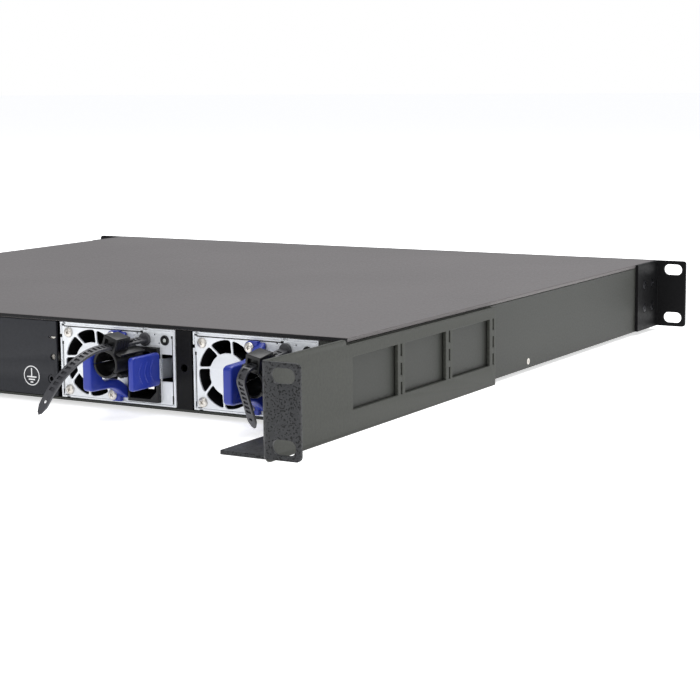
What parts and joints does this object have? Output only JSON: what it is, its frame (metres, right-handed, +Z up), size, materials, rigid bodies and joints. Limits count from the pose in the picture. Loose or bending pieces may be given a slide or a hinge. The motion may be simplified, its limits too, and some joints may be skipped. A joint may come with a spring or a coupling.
{
  "type": "rackmount network switch",
  "caption": "One-unit rack-mount Ethernet switch with hot-swap power supplies and fans, front jacks, slotted ears and sliding rear support brackets.",
  "frame": {"origin": "centre of the four front ear slots, on the rear face of the ears, which meets the rack rail", "axes": "+X to the right seen from the front, +Y from the front ports to the rear, +Z up"},
  "size_m": [0.4826, 0.4857, 0.046],
  "materials": {
    "black_paint": "satin black powder coat",
    "grey_paint": "satin dark grey paint",
    "bracket_paint": "textured dark powder coat",
    "plate_paint": "fine textured slate paint",
    "zinc_sheet": "bright zinc-plated sheet",
    "screw_steel": "nickel-plated screws",
    "dark_screw": "black oxide screws",
    "spring_steel": "polished spring steel",
    "blue_plastic": "glossy blue moulding",
    "nylon": "satin black nylon",
    "port_plastic": "black moulded jack housing",
    "cage_metal": "tinned cage sheet",
    "board": "green laminate",
    "heatsink": "plain extruded aluminium",
    "contact_metal": "nickel-plated contacts",
    "spacer_brass": "brass spacers",
    "lens": "clear light guide"
  },
  "bodies": {
    "chassis": {"chassis_tray": "black_paint", "psu_cage": "black_paint", "top_cover": "grey_paint", "side_screws": "dark_screw", "front_panel": "black_paint", "front_ear_left": "black_paint", "front_ear_right": "black_paint", "ear_screws": "dark_screw", "rear_plate": "plate_paint", "plate_screws": "dark_screw", "main_board": "board", "standoffs": "spacer_brass", "switch_heatsink": "heatsink", "phy_heatsinks": "heatsink", "power_board": "board", "jack_block_left": "port_plastic", "jack_block_right": "port_plastic", "sfp_cage": "cage_metal", "light_pipe": "lens"},
    "reset_button": {"reset_button": "nylon"},
    "bracket_left": {"rear_bracket_left": "bracket_paint"},
    "bracket_right": {"rear_bracket_right": "bracket_paint"},
    "fan_module_1": {"fan_module_1": "plate_paint"},
    "fan_rotor_1": {"fan_rotor_1": "nylon"},
    "fan_module_2": {"fan_module_2": "plate_paint"},
    "fan_rotor_2": {"fan_rotor_2": "nylon"},
    "fan_module_3": {"fan_module_3": "plate_paint"},
    "fan_rotor_3": {"fan_rotor_3": "nylon"},
    "supply_1": {"psu1_case": "zinc_sheet", "psu1_faceplate": "zinc_sheet", "psu1_screws": "screw_steel", "psu1_handle": "blue_plastic", "psu1_inlet": "nylon", "psu1_inlet_pins": "contact_metal", "psu1_led": "lens", "psu1_fan_frame": "nylon", "psu1_strap": "nylon", "psu1_board": "board"},
    "supply_1_rotor": {"psu1_fan_rotor": "nylon"},
    "supply_1_latch": {"psu1_latch_spring": "spring_steel", "psu1_latch_tab": "blue_plastic"},
    "supply_1_clamp": {"psu1_clamp": "nylon"},
    "supply_1_jaw": {"psu1_clamp_jaw": "nylon"},
    "supply_2": {"psu2_case": "zinc_sheet", "psu2_faceplate": "zinc_sheet", "psu2_screws": "screw_steel", "psu2_handle": "blue_plastic", "psu2_inlet": "nylon", "psu2_inlet_pins": "contact_metal", "psu2_led": "lens", "psu2_fan_frame": "nylon", "psu2_strap": "nylon", "psu2_board": "board"},
    "supply_2_rotor": {"psu2_fan_rotor": "nylon"},
    "supply_2_latch": {"psu2_latch_spring": "spring_steel", "psu2_latch_tab": "blue_plastic"},
    "supply_2_clamp": {"psu2_clamp": "nylon"},
    "supply_2_jaw": {"psu2_clamp_jaw": "nylon"}
  },
  "joints": [
    {"name": "reset_press", "type": "slide", "parent": "chassis", "child": "reset_button", "axis": [0, 1, 0], "range_m": [0, 0.0008], "stiffness_N_per_m": 300, "springref_m": -0.001},
    {"name": "bracket_left_slide", "type": "slide", "parent": "chassis", "child": "bracket_left", "axis": [0, 1, 0], "range_m": [-0.07, 0.075]},
    {"name": "bracket_right_slide", "type": "slide", "parent": "chassis", "child": "bracket_right", "axis": [0, 1, 0], "range_m": [-0.07, 0.075]},
    {"name": "fan_module_1_slide", "type": "slide", "parent": "chassis", "child": "fan_module_1", "axis": [0, 1, 0], "range_m": [0, 0.06]},
    {"name": "fan_rotor_1_spin", "type": "hinge", "parent": "fan_module_1", "child": "fan_rotor_1", "pos_m": [0.0758, 0.39, -0.0004], "axis": [0, 1, 0], "continuous": true},
    {"name": "fan_module_2_slide", "type": "slide", "parent": "chassis", "child": "fan_module_2", "axis": [0, 1, 0], "range_m": [0, 0.06]},
    {"name": "fan_rotor_2_spin", "type": "hinge", "parent": "fan_module_2", "child": "fan_rotor_2", "pos_m": [0.1306, 0.39, -0.0004], "axis": [0, 1, 0], "continuous": true},
    {"name": "fan_module_3_slide", "type": "slide", "parent": "chassis", "child": "fan_module_3", "axis": [0, 1, 0], "range_m": [0, 0.06]},
    {"name": "fan_rotor_3_spin", "type": "hinge", "parent": "fan_module_3", "child": "fan_rotor_3", "pos_m": [0.1854, 0.39, -0.0004], "axis": [0, 1, 0], "continuous": true},
    {"name": "supply_1_slide", "type": "slide", "parent": "chassis", "child": "supply_1", "axis": [0, 1, 0], "range_m": [0, 0.19]},
    {"name": "supply_1_fan_spin", "type": "hinge", "parent": "supply_1", "child": "supply_1_rotor", "pos_m": [-0.06755, 0.3904, -0.0009], "axis": [0, 1, 0], "continuous": true},
    {"name": "supply_1_latch_press", "type": "hinge", "parent": "supply_1", "child": "supply_1_latch", "pos_m": [-0.11725, 0.3454, -0.0003], "axis": [0, 0, -1], "range_deg": [0, 1.2], "stiffness_Nm_per_rad": 2, "springref_deg": -0.57},
    {"name": "supply_1_clamp_slide", "type": "slide", "parent": "supply_1", "child": "supply_1_clamp", "axis": [0, 1, 0], "range_m": [-0.0045, 0.004]},
    {"name": "supply_1_jaw_open", "type": "hinge", "parent": "supply_1_clamp", "child": "supply_1_jaw", "pos_m": [-0.09149, 0.4239, 0.00488], "axis": [0, -1, 0], "range_deg": [0, 25]},
    {"name": "supply_2_slide", "type": "slide", "parent": "chassis", "child": "supply_2", "axis": [0, 1, 0], "range_m": [0, 0.19]},
    {"name": "supply_2_fan_spin", "type": "hinge", "parent": "supply_2", "child": "supply_2_rotor", "pos_m": [-0.1515, 0.3904, -0.0009], "axis": [0, 1, 0], "continuous": true},
    {"name": "supply_2_latch_press", "type": "hinge", "parent": "supply_2", "child": "supply_2_latch", "pos_m": [-0.2012, 0.3454, -0.0003], "axis": [0, 0, -1], "range_deg": [0, 1.2], "stiffness_Nm_per_rad": 2, "springref_deg": -0.57},
    {"name": "supply_2_clamp_slide", "type": "slide", "parent": "supply_2", "child": "supply_2_clamp", "axis": [0.0289, 0.9903, -0.1361], "range_m": [-0.001, 0.001]},
    {"name": "supply_2_jaw_open", "type": "hinge", "parent": "supply_2_clamp", "child": "supply_2_jaw", "pos_m": [-0.17596, 0.42061, 0.00166], "axis": [-0.0289, -0.9903, 0.1361], "range_deg": [0, 25]}
  ]
}
